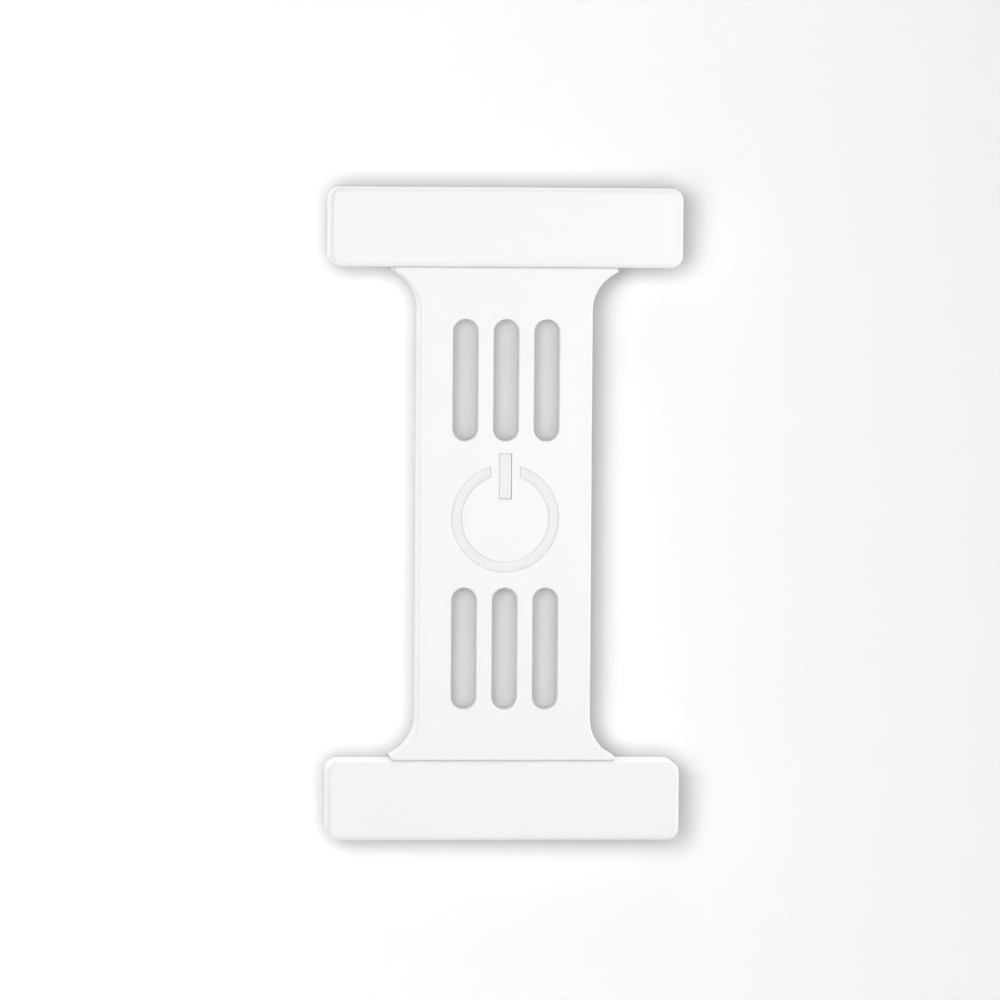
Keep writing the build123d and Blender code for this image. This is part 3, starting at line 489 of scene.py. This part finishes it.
def mat_skin(across, up, centre, half):
    """Front and back points of the mat at one place: full in the middle, pressed at the rim."""
    across, up = mat_outline(across, up, half.x, half.z)
    inward = max(0.0, min(half.x - abs(across), half.z - abs(up), MAT_EDGE_REACH)) / MAT_EDGE_REACH
    rise = inward * inward * (3 - 2 * inward)
    thick = half.y * (MAT_EDGE_SHARE + (1 - MAT_EDGE_SHARE) * rise)
    wave = MAT_UNDULATION * rise * turbulence(Vector((across, 0, up + centre.z)) / MAT_WAVE, 2, False)
    middle = centre.y + wave / 2
    return [Vector((centre.x + across, middle + side * thick, centre.z + up)) for side in (-1, 1)]


def dust_mat(name, node, material):
    """Non-woven filter mat in place of its plain CAD block."""
    low, high = (Vector(corner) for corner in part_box(node))
    centre, half = (low + high) / 2, (high - low) / 2
    columns, rows = (round(2 * length / MAT_STEP) + 1 for length in (half.x, half.z))
    mesh = bmesh.new()
    skins = [[[mesh.verts.new(point) for point in
               mat_skin(half.x * (2 * i / (columns - 1) - 1), half.z * (2 * j / (rows - 1) - 1),
                        centre, half)] for j in range(rows)] for i in range(columns)]
    for side in (0, 1):
        for i in range(columns - 1):
            for j in range(rows - 1):
                corners = [skins[i][j], skins[i + 1][j], skins[i + 1][j + 1], skins[i][j + 1]]
                mesh.faces.new([corner[side] for corner in corners])
    rim = ([skins[i][0] for i in range(columns)] + [skins[-1][j] for j in range(1, rows)]
           + [skins[i][-1] for i in range(columns - 2, -1, -1)]
           + [skins[0][j] for j in range(rows - 2, 0, -1)])
    for start, end in zip(rim, rim[1:] + rim[:1]):
        mesh.faces.new((start[0], end[0], end[1], start[1]))
    bmesh.ops.recalc_face_normals(mesh, faces=mesh.faces)
    for face in mesh.faces:
        face.smooth = True
    data = bpy.data.meshes.new(name)
    mesh.to_mesh(data)
    mesh.free()
    data.materials.append(material)
    made = add_object(name, data)
    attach(made, "unit")
    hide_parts(node)


# ---------------------------------------------------------------- stage: wall, floor, lights, camera

WALL_HALF = 2.4
FLOOR_DROP = 0.75           # from the unit's middle down to the floor
FLOOR_HALF = 14.0
PAINTED_SHADOW_REACH = 21 * MM     # how far the painted contact shadow spreads over the wall's colour
PAINTED_SHADOW_DEPTH = 0.68        # how much the painted contact shadow darkens the wall's colour where the unit touches the wall
WALL_SHADES = 0.97, 0.98    # the greys that the paint's faint clouds lie between
FLOOR_SHADES = 0.8, 0.83
FLOOR_GLOW = 0.42           # keeps the floor pale in the views from behind
CARD_RISE = 1 * MM          # the unseen bounce card lies just above the floor


def stage_plane(name, corners, material):
    """A flat backdrop that is not part of the object."""
    mesh = bpy.data.meshes.new(name)
    mesh.from_pydata(corners, [], [range(len(corners))])
    mesh.materials.append(material)
    made = add_object(name, mesh)
    return made


def wall_paint():
    """White wall with a contact shadow painted into its colour, seen from the room only, so that the unit's
    rear shows.
    """
    made, tree, shader = new_material("wall_paint", 0.9, sockets={"Specular IOR Level": 0.0})
    paint = blend_colours(tree, noise(tree, 400 * MM, detail=2), *map(grey, WALL_SHADES))
    # painted shadow: an occlusion node darkens the wall's colour where the unit is near, on top of the
    # lamps' own shading
    painted_shadow = add_node(tree, "ShaderNodeAmbientOcclusion", {"Distance": PAINTED_SHADOW_REACH}, samples=16)
    painted_shade_factor = remap(tree, painted_shadow.outputs["AO"], 0, 1, 1 - PAINTED_SHADOW_DEPTH, 1)
    connect(tree, shader, blend_colours(tree, painted_shade_factor, grey(0), paint))
    geometry = add_node(tree, "ShaderNodeNewGeometry")
    open_side = add_node(tree, "ShaderNodeBsdfTransparent")
    either = add_node(tree, "ShaderNodeMixShader")
    tree.links.new(geometry.outputs["Backfacing"], either.inputs["Fac"])
    tree.links.new(shader.outputs["BSDF"], either.inputs[1])
    tree.links.new(open_side.outputs["BSDF"], either.inputs[2])
    tree.links.new(either.outputs["Shader"], tree.nodes["Material Output"].inputs["Surface"])
    return made


def floor_paint(name, glow):
    """Pale matte paint, with a little light of its own where it has to stay pale in every view."""
    made, tree, shader = new_material(name, 0.9, sockets={"Specular IOR Level": 0.1,
                                                          "Emission Strength": glow})
    shader.inputs["Emission Color"].default_value = (1, 1, 1, 1)
    connect(tree, shader, blend_colours(tree, noise(tree, 800 * MM, detail=3), *map(grey, FLOOR_SHADES)))
    return made


def direction(azimuth, elevation):
    """From the unit outwards, by degrees. Azimuth 0 is straight in front, positive to the right."""
    turn, rise = radians(azimuth), radians(elevation)
    return Vector((sin(turn) * cos(rise), -cos(turn) * cos(rise), sin(rise)))


def softbox(name, azimuth, elevation, distance, size, power):
    """Square area light that faces the unit."""
    lamp = bpy.data.lights.new(name, "AREA")
    lamp.shape = "SQUARE"
    lamp.size = size
    lamp.energy = power
    made = add_object(name, lamp)
    outward = direction(azimuth, elevation)
    made.location = outward * distance
    made.rotation_euler = outward.to_track_quat("Z", "Y").to_euler()
    return made


LIGHTS = (
    # what it lights, name, azimuth and elevation in degrees, distance and size in metres, watts
    ("all", "overhead", 0, 75, 3.0, 1.6, 14),
    ("all", "front_upper_left", -18, 14, 3.0, 1.1, 20),
    ("all", "front_left", -24, -4, 3.0, 1.1, 12),
    ("wall", "wall_left", -28, 6, 3.0, 1.3, 15),
    ("unit", "front", 6, 2, 3.0, 1.1, 8),
    ("unit", "rear_left", -140, 10, 3.0, 1.6, 28),
    ("unit", "rear", 180, 15, 3.0, 2.4, 40),
    ("all", "rear_overhead", 165, 55, 3.5, 2.4, 45),
    ("unit", "right", 85, 5, 3.0, 1.6, 34),
    ("unit", "near_right", 25, 5, 1.3, 0.5, 2.6),
)
WORLD_STRENGTH = 0.35       # what it lights with
WORLD_SEEN = 0.85           # how pale it looks, directly and in reflections


def build_backdrop():
    """The wall, the floor and the unseen bounce card. Returns all three."""
    wall = stage_plane("wall", [(-WALL_HALF, 0, -FLOOR_DROP), (WALL_HALF, 0, -FLOOR_DROP),
                                (WALL_HALF, 0, WALL_HALF), (-WALL_HALF, 0, WALL_HALF)], wall_paint())
    wall.visible_shadow = False
    square = [(-FLOOR_HALF, -FLOOR_HALF), (FLOOR_HALF, -FLOOR_HALF),
              (FLOOR_HALF, FLOOR_HALF), (-FLOOR_HALF, FLOOR_HALF)]
    floor = stage_plane("floor", [(x, y, -FLOOR_DROP) for x, y in square],
                        floor_paint("floor_paint", FLOOR_GLOW))
    floor.visible_diffuse = False
    floor.visible_glossy = False
    card = stage_plane("bounce_card", [(x, y, CARD_RISE - FLOOR_DROP) for x, y in square],
                       floor_paint("card_paint", 0.0))
    card.visible_camera = False
    card.visible_glossy = False
    return wall, floor, card


def build_lights(backdrop):
    """The softboxes. Some of them light only the backdrop or only the unit."""
    lit = {"all": None, "wall": bpy.data.collections.new("wall_only"),
           "unit": bpy.data.collections.new("unit_only")}
    for piece in bpy.context.scene.objects:
        if piece.type == "MESH":
            lit["wall" if piece in backdrop else "unit"].objects.link(piece)
    for aim, *row in LIGHTS:
        softbox(*row).light_linking.receiver_collection = lit[aim]


def build_world():
    """A pale world that looks brighter than it lights."""
    world = bpy.data.worlds.new("pale_room")
    world.use_nodes = True
    tree = world.node_tree
    background = tree.nodes["Background"]
    background.inputs["Color"].default_value = (1, 1, 1, 1)
    rays = add_node(tree, "ShaderNodeLightPath").outputs
    seen = combine(tree, "MAXIMUM", rays["Is Camera Ray"], rays["Is Glossy Ray"])
    tree.links.new(remap(tree, seen, 0, 1, WORLD_STRENGTH, WORLD_SEEN), background.inputs["Strength"])
    bpy.context.scene.world = world


VIEW_AZIMUTH = -4.96        # degrees from straight ahead, to the left
VIEW_ELEVATION = 2.83
VIEW_ROLL = 0.395
VIEW_DISTANCE = 7.2
VIEW_REACH = 100.0          # how far the camera sees
FOCAL_SHARE = 7.184         # focal length over sensor width
SENSOR = 36.0               # in millimetres, as the camera has it
AIM = Vector((-0.8 * MM, 0, 11.9 * MM))     # the middle of the picture, on the wall's plane


def place_camera():
    """A long lens, a little to the left of the unit and a little above it."""
    roll = radians(VIEW_ROLL)
    back = direction(VIEW_AZIMUTH, VIEW_ELEVATION)
    level_right = (-back).cross(Vector((0, 0, 1))).normalized()
    level_up = level_right.cross(-back)
    right = level_right * cos(roll) + level_up * sin(roll)
    up = level_up * cos(roll) - level_right * sin(roll)
    lens = bpy.data.cameras.new("camera")
    lens.sensor_width = SENSOR
    lens.lens = FOCAL_SHARE * SENSOR
    lens.clip_end = VIEW_REACH
    camera = add_object("camera", lens)
    camera.matrix_world = Matrix.LocRotScale(AIM + back * VIEW_DISTANCE,
                                             Matrix((right, up, back)).transposed(), None)
    bpy.context.scene.camera = camera


materials = give_finishes()
for level in ("upper", "lower"):
    dust_mat(level + "_dust_mat", level + "_dust_filter", materials["filter_mat"])
build_lights(build_backdrop())
build_world()
place_camera()
bpy.context.scene.view_settings.view_transform = "Standard"
